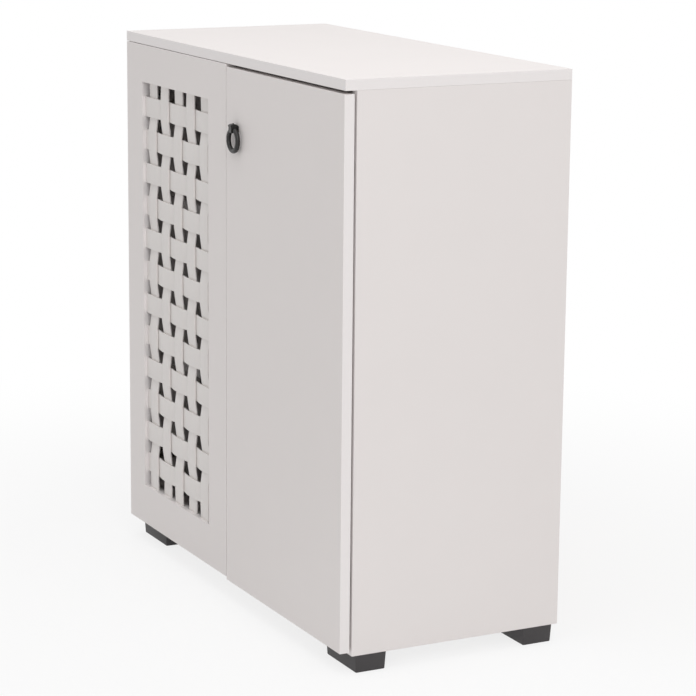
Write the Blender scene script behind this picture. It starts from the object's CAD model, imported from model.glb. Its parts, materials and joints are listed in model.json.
"""Looks of a two-door storage cabinet.

White melamine boards, a lattice woven in the left door, block feet, and a black ring pull on the
right door. Metres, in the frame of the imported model: the doors face -Y, and +X is to the right of a
person who faces them.
"""
import json
from math import asin, cos, pi, radians, sin, tan

import bmesh
import bpy
from mathutils import Matrix, Vector


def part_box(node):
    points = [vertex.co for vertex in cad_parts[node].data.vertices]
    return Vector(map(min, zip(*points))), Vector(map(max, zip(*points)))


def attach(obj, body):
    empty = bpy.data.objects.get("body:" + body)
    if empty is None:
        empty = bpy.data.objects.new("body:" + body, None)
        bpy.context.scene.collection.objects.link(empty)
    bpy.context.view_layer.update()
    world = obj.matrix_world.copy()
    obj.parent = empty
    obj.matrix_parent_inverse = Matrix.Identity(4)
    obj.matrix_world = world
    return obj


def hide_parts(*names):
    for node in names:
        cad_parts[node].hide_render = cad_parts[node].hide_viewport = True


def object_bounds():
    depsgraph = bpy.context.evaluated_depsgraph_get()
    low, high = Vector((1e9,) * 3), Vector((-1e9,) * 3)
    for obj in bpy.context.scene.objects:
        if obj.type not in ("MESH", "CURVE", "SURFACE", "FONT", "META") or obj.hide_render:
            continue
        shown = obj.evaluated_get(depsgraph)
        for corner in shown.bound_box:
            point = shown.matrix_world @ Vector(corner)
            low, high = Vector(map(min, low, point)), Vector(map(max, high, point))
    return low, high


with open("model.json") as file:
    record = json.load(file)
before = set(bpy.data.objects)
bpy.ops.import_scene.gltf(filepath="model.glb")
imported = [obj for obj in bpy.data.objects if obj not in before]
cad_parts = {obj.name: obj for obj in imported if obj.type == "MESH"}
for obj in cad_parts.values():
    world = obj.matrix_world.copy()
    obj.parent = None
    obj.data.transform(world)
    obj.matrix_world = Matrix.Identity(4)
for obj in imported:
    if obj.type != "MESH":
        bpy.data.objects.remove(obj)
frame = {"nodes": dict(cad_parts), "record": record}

bl_info = {
    "name": "Lattice Door Cabinet",
    "version": (1, 0, 0),
    "blender": (4, 5, 0),
    "location": "View3D > Sidebar > Cabinet",
    "description": "Finishes and fine pieces of a two-door storage cabinet, built round its frame",
    "category": "Object",
}

MM = 0.001
CAD_BOX = [list(corner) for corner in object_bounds()]

# Photograph: a square picture, with the lens axis off its middle and the camera turned a little
# about that axis
PHOTO_SIDE = 696
LENS_PX = 2502.08
AXIS_PX = (337.24, 329.48)
CAMERA_PLACE = (3.23922, -1.63575, 1.16335)
CAMERA_AZIMUTH = 62.997
CAMERA_ELEVATION = 11.966
CAMERA_ROLL = 0.496
SENSOR_MM = 36.0

# Studio: even light from all round, soft boxes as (place, size, watts), and a floor that keeps the
# cabinet's shadow and fades to white between two distances
AMBIENT = 0.5
SOFT_BOXES = {
    "right_soft_box": ((3.2, -0.8, 2.6), 2.0, 35),
    "top_soft_box": ((0.4, -0.2, 3.4), 2.6, 32),
}
FLOOR_HALF = 8.0
FLOOR_DROP = 0.2 * MM
FADE_NEAR = 0.5
FADE_FAR = 1.5
NEAR_WHITE_SHARE = 0.8
WHITE = (1, 1, 1, 1)
FLOOR_GREY = (0.9, 0.9, 0.9, 1)

# Sockets of a colour Mix node, whose names occur more than once
MIX_FACTOR, MIX_FIRST, MIX_SECOND, MIX_RESULT = 0, 6, 7, 2

# Board nodes, with the axis that their broad faces look along
BOARDS = {
    "top_panel": 2,
    "bottom_panel": 2,
    "lower_shelf": 2,
    "upper_shelf": 2,
    "left_side_panel": 0,
    "right_side_panel": 0,
    "right_door_panel": 1,
    "left_door_frame": 1,
}
# A board's face is narrow where its normal leans along the board's axis by less than this
BROAD_LEAST = 0.7

# Lattice: how far a strip lies flat beyond the strip that it crosses, and beyond its mortise
UPRIGHT_COUNT = 5
RAIL_COUNT = 12
CROSSING_SPARE = 0.6 * MM
MORTISE_SPARE = 1.0 * MM

# Feet: the rounded upper edge, the lower edge as (above the floor, inset), and the pockets, whose
# mouths flare and whose walls lean in
FOOT_TOP_EDGE = 0.35 * MM
FOOT_LOW_EDGE = ((1.0 * MM, 0), (0.3 * MM, 0.3 * MM), (0, 1.0 * MM))
POCKET_FLARE = 0.6 * MM
POCKET_FLARE_DEEP = 0.5 * MM
POCKET_DRAFT = 0.7 * MM

# Ring: the chamfered ends where it clasps the lug, as shares of its thickness
RING_TURNS = 96
RING_AROUND = 28
RING_END_SHARE = 0.9
RING_CHAMFER = 0.08

# Lug: heights above the pivot of a bowed crown, then the front as (behind the foremost point, above
# the pivot)
CROWN_REAR = 5.4 * MM
CROWN_FRONT = 6.2 * MM
CROWN_BOW = 2.2 * MM
CROWN_STEPS = 10
LUG_FRONT = (
    (0, 4.3 * MM), (0.7 * MM, 3.6 * MM), (0.7 * MM, -2.4 * MM), (1.35 * MM, -3.95 * MM),
    (2.9 * MM, -4.6 * MM),
)
LUG_FOOT = -4.6 * MM
LUG_EDGE = 0.45 * MM

# Base plate: its reach below and above the pivot, its corners and its chamfered rim
PLATE_BELOW = 4.2 * MM
PLATE_ABOVE = 5.4 * MM
PLATE_CORNER = 1.5 * MM
PLATE_CHAMFER = 0.8 * MM
PLATE_SQUARE_SHARE = 0.6

# Rivet: its foot above the pivot, and its head as (share of its radius, below its top)
RIVET_RADIUS = 1.4 * MM
RIVET_FOOT = 6 * MM
RIVET_HEAD = ((1, 0.5 * MM), (0.8, 0.15 * MM), (0.4, 0))

# Screws: shanks, the tip, the head's profile as (share of its radius, share of its height), and the
# cross recess
SHANK_RADIUS = 1.75 * MM
PULL_SHANK_RADIUS = 2.0 * MM
TIP_SHARE = 0.55
HEAD_PROFILE = ((1, 0), (1, 0.3), (0.93, 0.62), (0.76, 0.88), (0.55, 1))
CROSS_ARM_SHARE = 0.44
CROSS_HALF_SHARE = 0.1
CROSS_TAPER = 0.6
CROSS_FLOOR_SHARE = 0.3

# Edges: the least turn that counts as one, the turn that still counts as flat, how near two points
# merge, and the radii that pressing, drawing and casting leave
EDGE_LEAST = radians(30)
FLAT_MOST = radians(0.5)
MERGE_REACH = 0.001 * MM
PRESSED_EDGE = 0.35 * MM
PIN_EDGE = 0.3 * MM
BUMPER_EDGE = 0.6 * MM


def linear(hex_code):
    """An sRGB hex colour as the linear numbers that shaders use."""
    channels = [int(hex_code[i:i + 2], 16) / 255 for i in (1, 3, 5)]
    return tuple(c / 12.92 if c <= 0.04045 else ((c + 0.055) / 1.055) ** 2.4 for c in channels)


def colour_property(name, description, hex_code):
    """A colour that the sidebar shows, with its default given as sRGB hex."""
    return bpy.props.FloatVectorProperty(
        name=name, description=description, default=linear(hex_code),
        subtype="COLOR", min=0, max=1, size=3,
    )


def length_property(name, description, millimetres):
    """A length that the sidebar shows, with its default given in millimetres."""
    return bpy.props.FloatProperty(
        name=name, description=description, default=millimetres * MM,
        min=0, subtype="DISTANCE", unit="LENGTH",
    )


class CabinetColours(bpy.types.PropertyGroup):
    """Colours of the cabinet's finishes."""

    board: colour_property("Board", "White melamine on the chipboard panels", "#EEE8E6")
    band: colour_property("Edge band", "White plastic band on the boards' narrow edges", "#F3EEED")
    strip: colour_property("Lattice strip", "White foil on the woven strips", "#EAE5E2")
    hardboard: colour_property("Hardboard", "Bare brown rear of the back panel", "#9A7450")
    foot: colour_property("Foot", "Dark grey moulded plastic", "#3E3B3C")
    pull: colour_property("Pull", "Black lacquer on the ring pull", "#191716")
    nickel: colour_property("Nickel", "Nickel plating on the hinges and shelf pins", "#D3D0CB")
    zinc: colour_property("Zinc", "Bright zinc plating on screws and bolts", "#C9CDD2")
    cast: colour_property("Cast zinc", "Dull grey of the cast cams", "#A9ABAD")
    steel: colour_property("Steel", "Bright drawn steel of the hinge pins", "#C4C4C4")
    beech: colour_property("Beech", "Bare beech of the dowels", "#D3A878")
    rubber: colour_property("Bumper", "Pale grey soft rubber", "#B4B6B8")


class CabinetSizes(bpy.types.PropertyGroup):
    """Sizes of the fine pieces that the frame doesn't give."""

    strip_thick: length_property("Strip thickness", "Thickness of a lattice strip", 2.4)
    strip_round: length_property("Strip rounding", "Radius on a strip's long edges", 0.5)
    strip_bend: length_property("Strip bend", "Radius at which a strip bends over another", 12.0)
    strip_held: length_property("Held end", "Length of a strip's end that sits in its mortise", 9.8)
    strip_end_share: bpy.props.FloatProperty(
        name="End rise", description="Share of the weave's rise that a strip keeps in its mortise",
        default=0.6, min=0, max=1, subtype="FACTOR",
    )
    foot_wall: length_property("Foot wall", "Wall thickness of a moulded foot", 3.5)
    foot_plate: length_property("Foot plate", "Thickness of a foot's screw plate", 4.0)
    foot_inset: length_property("Foot draft", "How far a foot's sides slope in at the floor", 1.31)
    foot_round: length_property("Foot rounding", "Radius on a foot's upright edges", 1.5)
    lug_width: length_property("Lug width", "Width of the ring pull's lug", 9.0)
    base_thick: length_property("Base plate", "Thickness of the pull's base plate", 1.2)
    ring_split: length_property("Ring split", "Half the ring's gap where it clasps the lug", 4.8)
    screw_head: length_property("Screw head", "Radius of a pan head", 3.6)
    screw_head_high: length_property("Screw head height", "Height of a pan head", 1.8)


def wire(tree, node, links):
    """Link other nodes' sockets into this node's sockets."""
    for key, source in links.items():
        tree.links.new(source, node.inputs[key])


def add(tree, kind, settings=None, links=None):
    """Add a node, set its properties and sockets, and link other nodes' sockets into it."""
    node = tree.nodes.new(kind)
    for key, value in (settings or {}).items():
        if isinstance(key, int) or key in node.inputs:
            node.inputs[key].default_value = value
        else:
            setattr(node, key, value)
    wire(tree, node, links or {})
    return node


def start_material(name, settings):
    """A new material with its node tree, its shader and the outputs of its texture coordinates."""
    material = bpy.data.materials.new(name)
    material.use_nodes = True
    tree = material.node_tree
    tree.nodes.clear()
    shader = add(tree, "ShaderNodeBsdfPrincipled", settings)
    add(tree, "ShaderNodeOutputMaterial", None, {"Surface": shader.outputs["BSDF"]})
    return material, tree, shader, add(tree, "ShaderNodeTexCoord").outputs


def per_metre(millimetres):
    """A texture's scale for features of this size, on coordinates in metres."""
    return 1 / (millimetres * MM)


def rgba(colour, gain):
    """A colour property as a four-number colour, lighter or darker by a gain."""
    return (*(min(1.0, c * gain) for c in colour), 1.0)


def mottled(tree, place, colour, spread, patch_mm):
    """A colour that drifts a little lighter and darker over patches of a given size."""
    patches = add(
        tree, "ShaderNodeTexNoise",
        {"Scale": per_metre(patch_mm), "Detail": 3.0, "Roughness": 0.55}, {"Vector": place},
    )
    return add(
        tree, "ShaderNodeMix",
        {
            "data_type": "RGBA",
            MIX_FIRST: rgba(colour, 1 - spread),
            MIX_SECOND: rgba(colour, 1 + spread),
        },
        {MIX_FACTOR: patches.outputs["Fac"]},
    ).outputs[MIX_RESULT]


def pitted(tree, place, size_mm, depth_mm):
    """A bump of fine rounded pits and rises of a given size."""
    grain = add(
        tree, "ShaderNodeTexNoise",
        {"Scale": per_metre(size_mm), "Detail": 2.0, "Roughness": 0.5}, {"Vector": place},
    )
    return add(
        tree, "ShaderNodeBump", {"Strength": 1.0, "Distance": depth_mm * MM},
        {"Height": grain.outputs["Fac"]},
    ).outputs["Normal"]


def melamine(colours, face_axis):
    """Chipboard faced with melamine, pressed on a finely pitted plate, with a plastic edge band.

    The eye gets an even, faintly pearly white with soft highlights, and glossier narrow edges.
    """
    name = f"melamine_chipboard_{'xyz'[face_axis]}"
    face_gloss, band_gloss = 0.46, 0.36
    material, tree, shader, coords = start_material(name, {"Roughness": face_gloss, "IOR": 1.55})
    place = coords["Object"]
    face = mottled(tree, place, colours.board, spread=0.012, patch_mm=90)
    band = mottled(tree, place, colours.band, spread=0.006, patch_mm=30)
    normal = add(tree, "ShaderNodeSeparateXYZ", None, {0: coords["Normal"]})
    square_on = add(
        tree, "ShaderNodeMath", {"operation": "ABSOLUTE"}, {0: normal.outputs[face_axis]}
    )
    on_band = add(
        tree, "ShaderNodeMath", {"operation": "LESS_THAN", 1: BROAD_LEAST},
        {0: square_on.outputs[0]},
    )
    tone = add(
        tree, "ShaderNodeMix", {"data_type": "RGBA"},
        {MIX_FACTOR: on_band.outputs[0], MIX_FIRST: face, MIX_SECOND: band},
    )
    gloss = add(
        tree, "ShaderNodeMapRange", {"To Min": face_gloss, "To Max": band_gloss},
        {"Value": on_band.outputs[0]},
    )
    wire(tree, shader, {
        "Base Color": tone.outputs[MIX_RESULT],
        "Roughness": gloss.outputs[0],
        # Real pits are about 0.3 mm wide; 1.2 mm is the finest that shows at this picture's scale
        "Normal": pitted(tree, place, size_mm=1.2, depth_mm=0.012),
    })
    return material


def foil_strip(colours):
    """Thin bent strips wrapped in white satin foil: smooth, with a soft sheen along each bend."""
    settings = {"Roughness": 0.4, "IOR": 1.5}
    material, tree, shader, coords = start_material("white_satin_foil", settings)
    place = coords["Object"]
    wire(tree, shader, {
        "Base Color": mottled(tree, place, colours.strip, spread=0.01, patch_mm=40),
        "Normal": pitted(tree, place, size_mm=2.0, depth_mm=0.01),
    })
    return material


def hardboard(colours):
    """Pressed wood fibre board with a white front and a bare brown rear, where fine fibres show."""
    settings = {"IOR": 1.5, "Roughness": 0.55}
    material, tree, shader, coords = start_material("pressed_hardboard", settings)
    fibres = add(
        tree, "ShaderNodeTexNoise", {"Scale": per_metre(3.0), "Detail": 6.0, "Roughness": 0.7},
        {"Vector": coords["Object"]},
    )
    bare = add(
        tree, "ShaderNodeMix",
        {
            "data_type": "RGBA",
            MIX_FIRST: rgba(colours.hardboard, 0.82),
            MIX_SECOND: rgba(colours.hardboard, 1.18),
        },
        {MIX_FACTOR: fibres.outputs["Fac"]},
    )
    # The white face is the one whose normal looks to -Y
    normal = add(tree, "ShaderNodeSeparateXYZ", None, {0: coords["Normal"]})
    to_front = add(
        tree, "ShaderNodeMath", {"operation": "LESS_THAN", 1: -0.5}, {0: normal.outputs[1]}
    )
    lacquer = mottled(tree, coords["Object"], colours.board, spread=0.01, patch_mm=60)
    tone = add(
        tree, "ShaderNodeMix", {"data_type": "RGBA"},
        {
            MIX_FACTOR: to_front.outputs[0],
            MIX_FIRST: bare.outputs[MIX_RESULT],
            MIX_SECOND: lacquer,
        },
    )
    bump = add(
        tree, "ShaderNodeBump", {"Strength": 0.6, "Distance": 0.05 * MM},
        {"Height": fibres.outputs["Fac"]},
    )
    wire(tree, shader, {
        "Base Color": tone.outputs[MIX_RESULT],
        "Normal": bump.outputs["Normal"],
    })
    return material


def moulded_plastic(colours):
    """Dark polypropylene moulded in a spark-eroded tool: matt, with a fine even grain."""
    settings = {"Roughness": 0.55, "IOR": 1.49}
    material, tree, shader, coords = start_material("moulded_polypropylene", settings)
    place = coords["Object"]
    wire(tree, shader, {
        "Base Color": mottled(tree, place, colours.foot, spread=0.05, patch_mm=12),
        "Normal": pitted(tree, place, size_mm=0.8, depth_mm=0.03),
    })
    return material


def lacquered_zinc(colours):
    """Die-cast zinc under black lacquer: a broad soft highlight, broken by faint orange peel."""
    settings = {"Roughness": 0.34, "IOR": 1.5}
    material, tree, shader, coords = start_material("black_lacquered_zinc", settings)
    place = coords["Object"]
    wire(tree, shader, {
        "Base Color": mottled(tree, place, colours.pull, spread=0.12, patch_mm=3),
        "Normal": pitted(tree, place, size_mm=1.0, depth_mm=0.02),
    })
    return material


def plated_metal(name, colour, roughness, grain_mm, stretch):
    """Plated, cast or drawn metal, whose highlights its fine lines or grain break up a little."""
    settings = {"Metallic": 1.0, "Roughness": roughness}
    material, tree, shader, coords = start_material(name, settings)
    drawn = add(tree, "ShaderNodeMapping", {"Scale": stretch}, {"Vector": coords["Object"]})
    lines = add(
        tree, "ShaderNodeTexNoise", {"Scale": per_metre(grain_mm), "Detail": 3.0},
        {"Vector": drawn.outputs["Vector"]},
    )
    tone = add(
        tree, "ShaderNodeMix",
        {"data_type": "RGBA", MIX_FIRST: rgba(colour, 0.96), MIX_SECOND: rgba(colour, 1.03)},
        {MIX_FACTOR: lines.outputs["Fac"]},
    )
    gloss = add(
        tree, "ShaderNodeMapRange", {"To Min": roughness * 0.85, "To Max": roughness * 1.2},
        {"Value": lines.outputs["Fac"]},
    )
    bump = add(
        tree, "ShaderNodeBump", {"Strength": 0.2, "Distance": 0.01 * MM},
        {"Height": lines.outputs["Fac"]},
    )
    wire(tree, shader, {
        "Base Color": tone.outputs[MIX_RESULT],
        "Roughness": gloss.outputs[0],
        "Normal": bump.outputs["Normal"],
    })
    return material


def beech(colours):
    """Bare turned beech: pale brown, with short darker flecks."""
    material, tree, shader, coords = start_material("bare_beech", {"Roughness": 0.6, "IOR": 1.5})
    flecks = add(
        tree, "ShaderNodeTexNoise", {"Scale": per_metre(1.5), "Detail": 4.0, "Roughness": 0.6},
        {"Vector": coords["Object"]},
    )
    tone = add(
        tree, "ShaderNodeMix",
        {
            "data_type": "RGBA",
            MIX_FIRST: rgba(colours.beech, 0.8),
            MIX_SECOND: rgba(colours.beech, 1.12),
        },
        {MIX_FACTOR: flecks.outputs["Fac"]},
    )
    wire(tree, shader, {
        "Base Color": tone.outputs[MIX_RESULT],
        "Normal": pitted(tree, coords["Object"], size_mm=0.6, depth_mm=0.04),
    })
    return material


def soft_rubber(colours):
    """Cast soft rubber: milky pale grey that lets a little light in."""
    settings = {
        "Roughness": 0.5, "IOR": 1.46, "Subsurface Weight": 0.3, "Subsurface Scale": 1.0 * MM,
    }
    material, tree, shader, coords = start_material("cast_soft_rubber", settings)
    place = coords["Object"]
    wire(tree, shader, {
        "Base Color": mottled(tree, place, colours.rubber, spread=0.04, patch_mm=2),
        "Normal": pitted(tree, place, size_mm=0.7, depth_mm=0.02),
    })
    return material


def dress(material, *names):
    """Give CAD nodes this material in place of their plain one."""
    for name in names:
        mesh = frame["nodes"][name].data
        mesh.materials.clear()
        mesh.materials.append(material)


def nodes_like(word):
    """The CAD nodes whose names hold this word."""
    return [name for name in sorted(frame["nodes"]) if word in name]


def body_of(name):
    """The body that a CAD node belongs to."""
    bodies = frame["record"]["behaviour"]["bodies"]
    return next(body for body, nodes in bodies.items() if name in nodes)


def place_piece(name, bm, material, body, replaced, sharp_degrees):
    """Turn a bmesh into a smooth-shaded piece that rides on a body and stands for CAD nodes."""
    bmesh.ops.recalc_face_normals(bm, faces=bm.faces)
    for face in bm.faces:
        face.smooth = True
    mesh = bpy.data.meshes.new(name)
    bm.to_mesh(mesh)
    bm.free()
    mesh.set_sharp_from_angle(angle=radians(sharp_degrees))
    mesh.materials.append(material)
    piece = bpy.data.objects.new(name, mesh)
    bpy.context.scene.collection.objects.link(piece)
    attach(piece, body)
    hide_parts(*replaced)


def skin(bm, loops):
    """Join closed loops of equally many vertices, each to the next."""
    for near, far in zip(loops, loops[1:]):
        for i in range(len(near)):
            k = (i + 1) % len(near)
            bm.faces.new((near[i], near[k], far[k], far[i]))


def loft(bm, rings, start_cap=True, end_cap=True):
    """Join closed rings of equally many points into a skin, with a cap at each end where asked."""
    loops = [[bm.verts.new(point) for point in ring] for ring in rings]
    skin(bm, loops)
    if start_cap:
        bm.faces.new(loops[0])
    if end_cap:
        bm.faces.new(loops[-1])
    return loops


def fill_between(bm, loops):
    """Fill the flat area inside the first loop and outside the others."""
    edges = []
    for loop in loops:
        for pair in zip(loop, loop[1:] + loop[:1]):
            edges.append(bm.edges.get(pair) or bm.edges.new(pair))
    bmesh.ops.triangle_fill(bm, edges=edges, use_beauty=True, use_dissolve=False)


def circle(radius, count=24):
    """Points round a circle about the origin."""
    turns = [2 * pi * i / count for i in range(count)]
    return [(radius * cos(turn), radius * sin(turn)) for turn in turns]


def rounded_rectangle(width, height, radius, steps=3):
    """Points round a rectangle about the origin, with an arc at each corner."""
    points = []
    for quarter, (sx, sy) in enumerate(((1, 1), (-1, 1), (-1, -1), (1, -1))):
        for step in range(steps + 1):
            angle = (quarter + step / steps) * pi / 2
            points.append((
                sx * (width / 2 - radius) + radius * cos(angle),
                sy * (height / 2 - radius) + radius * sin(angle),
            ))
    return points


def soften(bm, radius):
    """Round every edge at which two faces meet at a clear turn."""
    edges = [
        edge for edge in bm.edges
        if len(edge.link_faces) == 2 and edge.calc_face_angle(0) > EDGE_LEAST
    ]
    bmesh.ops.bevel(
        bm, geom=edges, offset=radius, segments=2, profile=0.5, affect="EDGES", clamp_overlap=True
    )


def softened_copy(name, piece_name, material, radius):
    """A copy of a CAD node with its sharp edges rounded as a press or a mould leaves them."""
    bm = bmesh.new()
    bm.from_mesh(frame["nodes"][name].data)
    bmesh.ops.remove_doubles(bm, verts=bm.verts, dist=MERGE_REACH)
    bmesh.ops.dissolve_limit(bm, angle_limit=FLAT_MOST, verts=bm.verts, edges=bm.edges)
    soften(bm, radius)
    place_piece(piece_name, bm, material, body_of(name), [name], sharp_degrees=35)


def round_bends(points, radius, steps=4):
    """A line with each inner corner turned into an arc."""
    rounded = [Vector(points[0])]
    for before, corner, after in zip(points, points[1:], points[2:]):
        corner = Vector(corner)
        back = (Vector(before) - corner).normalized()
        ahead = (Vector(after) - corner).normalized()
        turn = pi - back.angle(ahead)
        reach = radius * tan(turn / 2)
        centre = corner + (back + ahead).normalized() * (radius / cos(turn / 2))
        first = corner + back * reach - centre
        last = corner + ahead * reach - centre
        swing = first.angle_signed(last)
        for step in range(steps + 1):
            angle = -swing * step / steps
            rounded.append(centre + Vector((
                first.x * cos(angle) - first.y * sin(angle),
                first.x * sin(angle) + first.y * cos(angle),
            )))
    rounded.append(Vector(points[-1]))
    return rounded


def weave_line(low, high, crossings, half_flat, held, end_share):
    """A strip's middle line: level in its mortises, flat over each crossing, sloped in between."""
    low_rise = end_share * crossings[0][1]
    high_rise = end_share * crossings[-1][1]
    points = [(low, low_rise), (low + held + MORTISE_SPARE, low_rise)]
    for place, rise in crossings:
        points += [(place - half_flat, rise), (place + half_flat, rise)]
    return points + [(high - held - MORTISE_SPARE, high_rise), (high, high_rise)]


def strip_rings(line, section, at):
    """The strip's section at each point of its line; at(along, depth, across) gives a place."""
    rings = []
    for i, point in enumerate(line):
        ahead = (line[min(i + 1, len(line) - 1)] - line[max(i - 1, 0)]).normalized()
        rings.append([
            at(point.x - ahead.y * thick, point.y + ahead.x * thick, across)
            for across, thick in section
        ])
    return rings


def swept_ring(bm, centre, radius, section, split):
    """A ring that stands upright facing -Y, cut off square at a gap on its top."""
    loops = []
    for turn in range(RING_TURNS + 1):
        points = []
        for x, y in circle(section, RING_AROUND):
            reach = radius + x
            start = asin(split / reach)
            theta = start + (2 * pi - 2 * start) * turn / RING_TURNS
            points.append(centre + Vector((reach * sin(theta), y, reach * cos(theta))))
        loops.append(points)
    for loop, sign in ((loops[0], 1), (loops[-1], -1)):
        middle = sum(loop, Vector()) / len(loop)
        end = [middle + (point - middle) * RING_END_SHARE for point in loop]
        for point in loop:
            point.x += sign * section * RING_CHAMFER
        loops.insert(0 if sign > 0 else len(loops), end)
    loft(bm, loops)


def lug_bar(bm, pivot, reach, width):
    """The lug: a bar that stands out from the door at the pivot, with a bowed crown."""
    crown = []
    for step in range(CROWN_STEPS + 1):
        share = step / CROWN_STEPS
        level = CROWN_REAR + (CROWN_FRONT - CROWN_REAR) * share
        crown.append((-reach * share, level + CROWN_BOW * 4 * share * (1 - share)))
    front = [(behind - reach, above) for behind, above in LUG_FRONT]
    outline = [*crown, *front, (0, LUG_FOOT)]
    loft(bm, [
        [pivot + Vector((side * width / 2, y, z)) for y, z in outline] for side in (-1, 1)
    ])
    soften(bm, LUG_EDGE)


def base_plate(bm, pivot, width, thick):
    """The plate behind the lug, flat on the door and chamfered round its front."""
    height = PLATE_BELOW + PLATE_ABOVE
    middle = pivot + Vector((0, 0, (PLATE_ABOVE - PLATE_BELOW) / 2))
    loft(bm, [
        [
            middle + Vector((x, -out, z))
            for x, z in rounded_rectangle(width - inset, height - inset, PLATE_CORNER)
        ]
        for inset, out in ((0, 0), (0, thick * PLATE_SQUARE_SHARE), (PLATE_CHAMFER, thick))
    ])


def rivet(bm, place, top):
    """A rivet's round head, which stands out of the lug's crown."""
    rings = [(1, place.z + RIVET_FOOT)]
    rings += [(share, top - below) for share, below in RIVET_HEAD]
    loft(bm, [
        [(place.x + x, place.y + y, z) for x, y in circle(RIVET_RADIUS * share, 16)]
        for share, z in rings
    ])


def islands(name):
    """The boxes of a CAD node's separate lumps, as (low, high) corners."""
    bm = bmesh.new()
    bm.from_mesh(frame["nodes"][name].data)
    bmesh.ops.remove_doubles(bm, verts=bm.verts, dist=MERGE_REACH)
    bm.verts.index_update()
    seen = set()
    boxes = []
    for start in bm.verts:
        if start.index in seen:
            continue
        lump, front = [], [start]
        seen.add(start.index)
        while front:
            vertex = front.pop()
            lump.append(vertex.co.copy())
            for edge in vertex.link_edges:
                other = edge.other_vert(vertex)
                if other.index not in seen:
                    seen.add(other.index)
                    front.append(other)
        boxes.append((
            Vector([min(p[i] for p in lump) for i in range(3)]),
            Vector([max(p[i] for p in lump) for i in range(3)]),
        ))
    bm.free()
    return boxes


def pan_screw(bm, seat, out, shank_radius, shank_length, sizes):
    """A pan-head screw with a cross recess, whose head stands on a seat and looks out one way."""
    turn = out.to_track_quat("Z", "Y")

    def at(points, height):
        return [seat + turn @ Vector((x, y, height)) for x, y in points]

    high = sizes.screw_head_high
    wide = sizes.screw_head
    profile = [
        (shank_radius * TIP_SHARE, -shank_length),
        (shank_radius, -shank_length + shank_radius),
        (shank_radius, 0),
    ]
    profile += [(wide * radial, high * upward) for radial, upward in HEAD_PROFILE]
    loops = loft(bm, [at(circle(radius), height) for radius, height in profile], end_cap=False)
    arm, half = wide * CROSS_ARM_SHARE, wide * CROSS_HALF_SHARE
    cross = [
        (arm, -half), (arm, half), (half, half), (half, arm), (-half, arm), (-half, half),
        (-arm, half), (-arm, -half), (-half, -half), (-half, -arm), (half, -arm), (half, -half),
    ]
    tapered = [(x * CROSS_TAPER, y * CROSS_TAPER) for x, y in cross]
    rim = [bm.verts.new(point) for point in at(cross, high)]
    deep = [bm.verts.new(point) for point in at(tapered, high * CROSS_FLOOR_SHARE)]
    fill_between(bm, [loops[-1], rim])
    skin(bm, [rim, deep])
    bm.faces.new(deep)


class CABINET_OT_boards(bpy.types.Operator):
    """Finish the chipboard panels, the doors and the thin back panel"""

    bl_idname = "cabinet.boards"
    bl_label = "Finish boards"

    def execute(self, context):
        colours = context.scene.cabinet_colours
        for axis in range(3):
            names = (name for name, faces in BOARDS.items() if faces == axis)
            dress(melamine(colours, axis), *names)
        dress(hardboard(colours), "back_panel")
        return {"FINISHED"}


class CABINET_OT_lattice(bpy.types.Operator):
    """Weave the upright strips and rails in the left door's opening"""

    bl_idname = "cabinet.lattice"
    bl_label = "Weave lattice"

    def execute(self, context):
        sizes = context.scene.cabinet_sizes
        foil = foil_strip(context.scene.cabinet_colours)
        uprights = [f"upright_slat_{j + 1}" for j in range(UPRIGHT_COUNT)]
        rails = [f"rail_slat_{k + 1:02d}" for k in range(RAIL_COUNT)]
        middles = {name: sum(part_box(name), Vector()) / 2 for name in uprights + rails}
        low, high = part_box(uprights[0])
        upright_width = high.x - low.x
        rise = (high.y - low.y - sizes.strip_thick) / 2
        low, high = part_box(rails[0])
        rail_width = high.z - low.z

        def weave(name, piece_name, axis, crossings, width, crossed_width):
            low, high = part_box(name)

            def at(along, depth, across):
                place = list(middles[name])
                place[axis] = along
                place[1] += depth
                place[2 - axis] += across
                return place

            line = weave_line(
                low[axis], high[axis], crossings, crossed_width / 2 + CROSSING_SPARE,
                sizes.strip_held, sizes.strip_end_share,
            )
            section = rounded_rectangle(width, sizes.strip_thick, sizes.strip_round)
            bm = bmesh.new()
            loft(bm, strip_rings(round_bends(line, sizes.strip_bend), section, at))
            place_piece(
                piece_name, bm, foil, "left_door", [name], sharp_degrees=50
            )

        # Rails are numbered from the top down, so an upright meets them in reverse
        for j, name in enumerate(uprights):
            crossings = [
                (middles[rails[k]].z, -rise if (j + k) % 2 else rise)
                for k in reversed(range(RAIL_COUNT))
            ]
            weave(name, f"woven_upright_{j + 1}", 2, crossings, upright_width, rail_width)
        for k, name in enumerate(rails):
            crossings = [
                (middles[uprights[j]].x, rise if (j + k) % 2 else -rise)
                for j in range(UPRIGHT_COUNT)
            ]
            weave(name, f"woven_rail_{k + 1:02d}", 0, crossings, rail_width, upright_width)
        return {"FINISHED"}


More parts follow.
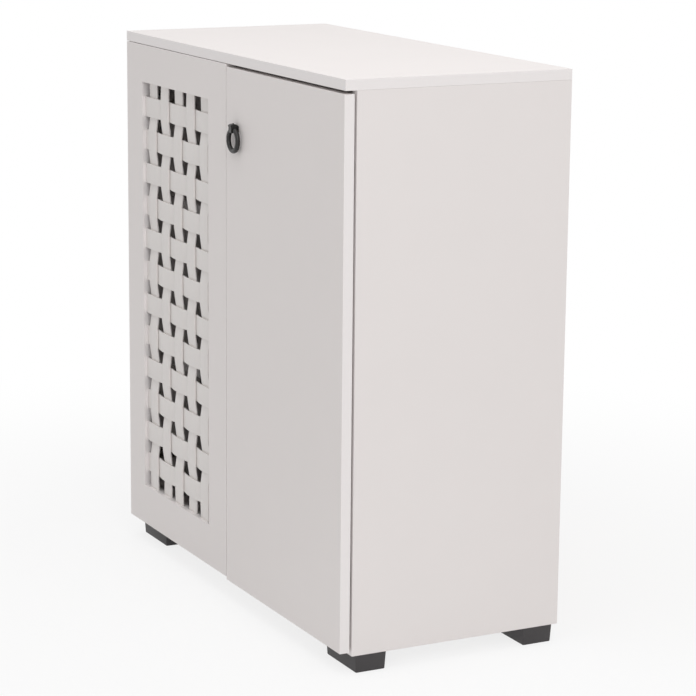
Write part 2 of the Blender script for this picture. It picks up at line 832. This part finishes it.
class CABINET_OT_feet(bpy.types.Operator):
    """Mould the four block feet, open below with two pockets each"""

    bl_idname = "cabinet.feet"
    bl_label = "Mould feet"

    def execute(self, context):
        sizes = context.scene.cabinet_sizes
        plastic = moulded_plastic(context.scene.cabinet_colours)
        for name in nodes_like("_foot"):
            low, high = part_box(name)
            middle = (low + high) / 2
            size = high - low
            wall = sizes.foot_wall

            def ring(width, depth, z, shift=0.0):
                points = rounded_rectangle(width, depth, sizes.foot_round)
                return [(middle.x + shift + x, middle.y + y, z) for x, y in points]

            bm = bmesh.new()
            profile = [(high.z, FOOT_TOP_EDGE), (high.z - FOOT_TOP_EDGE, 0)]
            profile += [(low.z + above, inset) for above, inset in FOOT_LOW_EDGE]
            outline = []
            for z, inset in profile:
                inward = 2 * (sizes.foot_inset * (high.z - z) / size.z + inset)
                outline.append(ring(size.x - inward, size.y - inward, z))
            loops = loft(bm, outline, end_cap=False)
            # Walls stand round both pockets and between them, and the draft takes half a wall more
            pocket_x = (size.x - 3 * wall) / 2 - wall / 2
            pocket_y = size.y - 2 * wall - wall / 2
            depths = (
                (POCKET_FLARE, low.z),
                (0, low.z + POCKET_FLARE_DEEP),
                (-POCKET_DRAFT, high.z - sizes.foot_plate),
            )
            mouths = []
            for side in (-1, 1):
                shift = side * (pocket_x + wall) / 2
                pocket = [ring(pocket_x + more, pocket_y + more, z, shift) for more, z in depths]
                mouths.append(loft(bm, pocket, start_cap=False)[0])
            fill_between(bm, [loops[-1], *mouths])
            place_piece(
                f"moulded_{name}", bm, plastic, "case", [name], sharp_degrees=30
            )
        return {"FINISHED"}


class CABINET_OT_ring_pull(bpy.types.Operator):
    """Cast the pull's lug with its base plate, and the ring that hangs from it"""

    bl_idname = "cabinet.ring_pull"
    bl_label = "Cast ring pull"

    def execute(self, context):
        sizes = context.scene.cabinet_sizes
        black = lacquered_zinc(context.scene.cabinet_colours)
        low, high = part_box("pull_ring")
        section = (high.y - low.y) / 2
        radius = (high.x - low.x) / 2 - section
        middle = (low + high) / 2
        centre = Vector((middle.x, middle.y, low.z + section + radius))
        bm = bmesh.new()
        swept_ring(bm, centre, radius, section, sizes.ring_split)
        place_piece(
            "cast_ring", bm, black, "pull_ring", ["pull_ring"], sharp_degrees=50
        )

        low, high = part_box("pull_lug")
        pivot = Vector((centre.x, high.y, centre.z + radius))
        reach = high.y - low.y
        bm = bmesh.new()
        lug_bar(bm, pivot, reach, sizes.lug_width)
        base_plate(bm, pivot, high.x - low.x, sizes.base_thick)
        rivet(bm, pivot - Vector((0, reach / 2, 0)), high.z)
        place_piece(
            "cast_lug", bm, black, "right_door", ["pull_lug"], sharp_degrees=35
        )
        dress(black, "pull_pin")
        return {"FINISHED"}


class CABINET_OT_hardware(bpy.types.Operator):
    """Finish hinges, screws, cams, dowels, shelf pins and bumpers"""

    bl_idname = "cabinet.hardware"
    bl_label = "Finish hardware"

    def execute(self, context):
        colours = context.scene.cabinet_colours
        sizes = context.scene.cabinet_sizes
        # Rolled lines run across Y on pressed parts, and drawn lines run along Z on the pins
        nickel = plated_metal("nickel_plated_steel", colours.nickel, 0.26, 1.0, (1, 6, 1))
        zinc = plated_metal("zinc_plated_steel", colours.zinc, 0.3, 0.8, (1, 1, 1))
        cast = plated_metal("die_cast_zinc", colours.cast, 0.45, 1.2, (1, 1, 1))
        steel = plated_metal("drawn_steel", colours.steel, 0.2, 0.6, (1, 1, 0.1))

        for word in ("hinge_arm", "hinge_cup", "hinge_plate"):
            for name in nodes_like(word):
                if not name.endswith("screws"):
                    softened_copy(name, f"pressed_{name}", nickel, PRESSED_EDGE)
        softened_copy("shelf_pins", "pressed_shelf_pins", nickel, PIN_EDGE)

        for name in (*nodes_like("_screws"), "pull_screw"):
            shank = PULL_SHANK_RADIUS if name == "pull_screw" else SHANK_RADIUS
            bm = bmesh.new()
            for low, high in islands(name):
                middle = (low + high) / 2
                size = high - low
                along = max(range(3), key=lambda i: size[i])
                # Heads look to the cabinet's middle, to the rear or down
                out = Vector((0, 0, 0))
                out[along] = (-1 if middle.x > 0 else 1, 1, -1)[along]
                seat = middle + out * (size[along] / 2 - sizes.screw_head_high)
                pan_screw(bm, seat, out, shank, size[along] - sizes.screw_head_high, sizes)
            place_piece(
                f"driven_{name}", bm, zinc, body_of(name), [name],
                sharp_degrees=35,
            )

        dress(zinc, "cam_bolts")
        dress(cast, "cam_locks")
        dress(steel, *nodes_like("hinge_pins"))
        dress(beech(colours), "wooden_dowels")
        softened_copy(
            "door_bumpers", "cast_door_bumpers", soft_rubber(colours), BUMPER_EDGE
        )
        return {"FINISHED"}


def soft_box(name, place, target, size, watts):
    """A square soft box that looks at a target."""
    data = bpy.data.lights.new(name, "AREA")
    data.shape = "SQUARE"
    data.size = size
    data.energy = watts
    lamp = bpy.data.objects.new(name, data)
    lamp.location = place
    lamp.rotation_euler = (Vector(target) - Vector(place)).to_track_quat("-Z", "Y").to_euler()
    bpy.context.scene.collection.objects.link(lamp)


def seen_directly(tree):
    """1 for rays that come straight from the camera, by reflection or through glass, else 0."""
    path = add(tree, "ShaderNodeLightPath")
    mirrored = add(
        tree, "ShaderNodeMath", {"operation": "MAXIMUM"},
        {0: path.outputs["Is Camera Ray"], 1: path.outputs["Is Glossy Ray"]},
    )
    return add(
        tree, "ShaderNodeMath", {"operation": "MAXIMUM"},
        {0: mirrored.outputs[0], 1: path.outputs["Is Transmission Ray"]},
    ).outputs[0]


def studio_world():
    """A white surround that lights the cabinet evenly and is plain white where it is seen."""
    world = bpy.data.worlds.new("studio")
    world.use_nodes = True
    tree = world.node_tree
    tree.nodes.clear()
    light = add(tree, "ShaderNodeBackground", {"Color": WHITE, "Strength": AMBIENT})
    seen = add(tree, "ShaderNodeBackground", {"Color": WHITE, "Strength": 1.0})
    mix = add(
        tree, "ShaderNodeMixShader", None,
        {0: seen_directly(tree), 1: light.outputs[0], 2: seen.outputs[0]},
    )
    add(tree, "ShaderNodeOutputWorld", None, {"Surface": mix.outputs[0]})
    bpy.context.scene.world = world


def floor_paint():
    """Matt white floor paint that keeps the cabinet's soft shadow and fades into the surround."""
    settings = {"Base Color": FLOOR_GREY, "Roughness": 0.8}
    material, tree, shader, coords = start_material("studio_floor", settings)
    away = add(tree, "ShaderNodeVectorMath", {"operation": "LENGTH"}, {0: coords["Object"]})
    fade = add(
        tree, "ShaderNodeMapRange",
        {
            "From Min": FADE_NEAR, "From Max": FADE_FAR, "To Min": NEAR_WHITE_SHARE, "To Max": 1.0,
            "interpolation_type": "SMOOTHSTEP",
        },
        {"Value": away.outputs["Value"]},
    )
    share = add(
        tree, "ShaderNodeMath", {"operation": "MULTIPLY"},
        {0: fade.outputs[0], 1: seen_directly(tree)},
    )
    white = add(tree, "ShaderNodeEmission", {"Color": WHITE, "Strength": 1.0})
    mix = add(
        tree, "ShaderNodeMixShader", None,
        {0: share.outputs[0], 1: shader.outputs["BSDF"], 2: white.outputs[0]},
    )
    output = next(node for node in tree.nodes if node.type == "OUTPUT_MATERIAL")
    wire(tree, output, {"Surface": mix.outputs[0]})
    return material


def photo_camera():
    """The camera at the photograph's place, with its lens axis off the picture's middle."""
    azimuth, elevation, roll = (
        radians(angle) for angle in (CAMERA_AZIMUTH, CAMERA_ELEVATION, CAMERA_ROLL)
    )
    back = Vector((sin(azimuth) * cos(elevation), -cos(azimuth) * cos(elevation), sin(elevation)))
    right = Vector((cos(azimuth), sin(azimuth), 0))
    up = back.cross(right)
    turned_right = cos(roll) * right + sin(roll) * up
    turned_up = cos(roll) * up - sin(roll) * right
    data = bpy.data.cameras.new("photo_camera")
    data.sensor_width = SENSOR_MM
    data.lens = SENSOR_MM * LENS_PX / PHOTO_SIDE
    data.shift_x = (PHOTO_SIDE / 2 - AXIS_PX[0]) / PHOTO_SIDE
    data.shift_y = (AXIS_PX[1] - PHOTO_SIDE / 2) / PHOTO_SIDE
    camera = bpy.data.objects.new("photo_camera", data)
    turn = Matrix((turned_right, turned_up, back)).transposed().to_4x4()
    camera.matrix_world = Matrix.Translation(CAMERA_PLACE) @ turn
    bpy.context.scene.collection.objects.link(camera)
    bpy.context.scene.camera = camera


class CABINET_OT_stage(bpy.types.Operator):
    """Lay the floor, light the studio and stand the camera where the photograph was taken"""

    bl_idname = "cabinet.stage"
    bl_label = "Set stage"

    def execute(self, context):
        bm = bmesh.new()
        bmesh.ops.create_grid(bm, x_segments=1, y_segments=1, size=FLOOR_HALF)
        mesh = bpy.data.meshes.new("studio_floor")
        bm.to_mesh(mesh)
        bm.free()
        mesh.materials.append(floor_paint())
        floor = bpy.data.objects.new("studio_floor", mesh)
        context.scene.collection.objects.link(floor)
        floor.location.z = -FLOOR_DROP
        middle = (0, 0, CAD_BOX[1][2] / 2)
        for name, (place, size, watts) in SOFT_BOXES.items():
            soft_box(name, place, middle, size, watts)
        studio_world()
        photo_camera()
        context.scene.view_settings.view_transform = "Standard"
        return {"FINISHED"}


class CABINET_PT_sidebar(bpy.types.Panel):
    """Colours, sizes and steps of the cabinet"""

    bl_idname = "CABINET_PT_sidebar"
    bl_label = "Cabinet"
    bl_space_type = "VIEW_3D"
    bl_region_type = "UI"
    bl_category = "Cabinet"

    def draw(self, context):
        layout = self.layout
        for group in (context.scene.cabinet_colours, context.scene.cabinet_sizes):
            column = layout.column(align=True)
            for name in group.__annotations__:
                column.prop(group, name)
        column = layout.column(align=True)
        for operator in OPERATORS:
            column.operator(operator.bl_idname)


OPERATORS = (
    CABINET_OT_boards,
    CABINET_OT_lattice,
    CABINET_OT_feet,
    CABINET_OT_ring_pull,
    CABINET_OT_hardware,
    CABINET_OT_stage,
)
CLASSES = (CabinetColours, CabinetSizes, *OPERATORS, CABINET_PT_sidebar)


def register():
    """Add the panel, the operators and the scene's settings."""
    for cls in CLASSES:
        bpy.utils.register_class(cls)
    bpy.types.Scene.cabinet_colours = bpy.props.PointerProperty(type=CabinetColours)
    bpy.types.Scene.cabinet_sizes = bpy.props.PointerProperty(type=CabinetSizes)


def unregister():
    """Take the settings, the operators and the panel away again."""
    del bpy.types.Scene.cabinet_sizes
    del bpy.types.Scene.cabinet_colours
    for cls in reversed(CLASSES):
        bpy.utils.unregister_class(cls)


def main():
    """Register everything, run each step in order and note the two boxes."""
    register()
    bpy.ops.cabinet.boards()
    bpy.ops.cabinet.lattice()
    bpy.ops.cabinet.feet()
    bpy.ops.cabinet.ring_pull()
    bpy.ops.cabinet.hardware()
    bpy.ops.cabinet.stage()


if __name__ == "__main__":
    main()
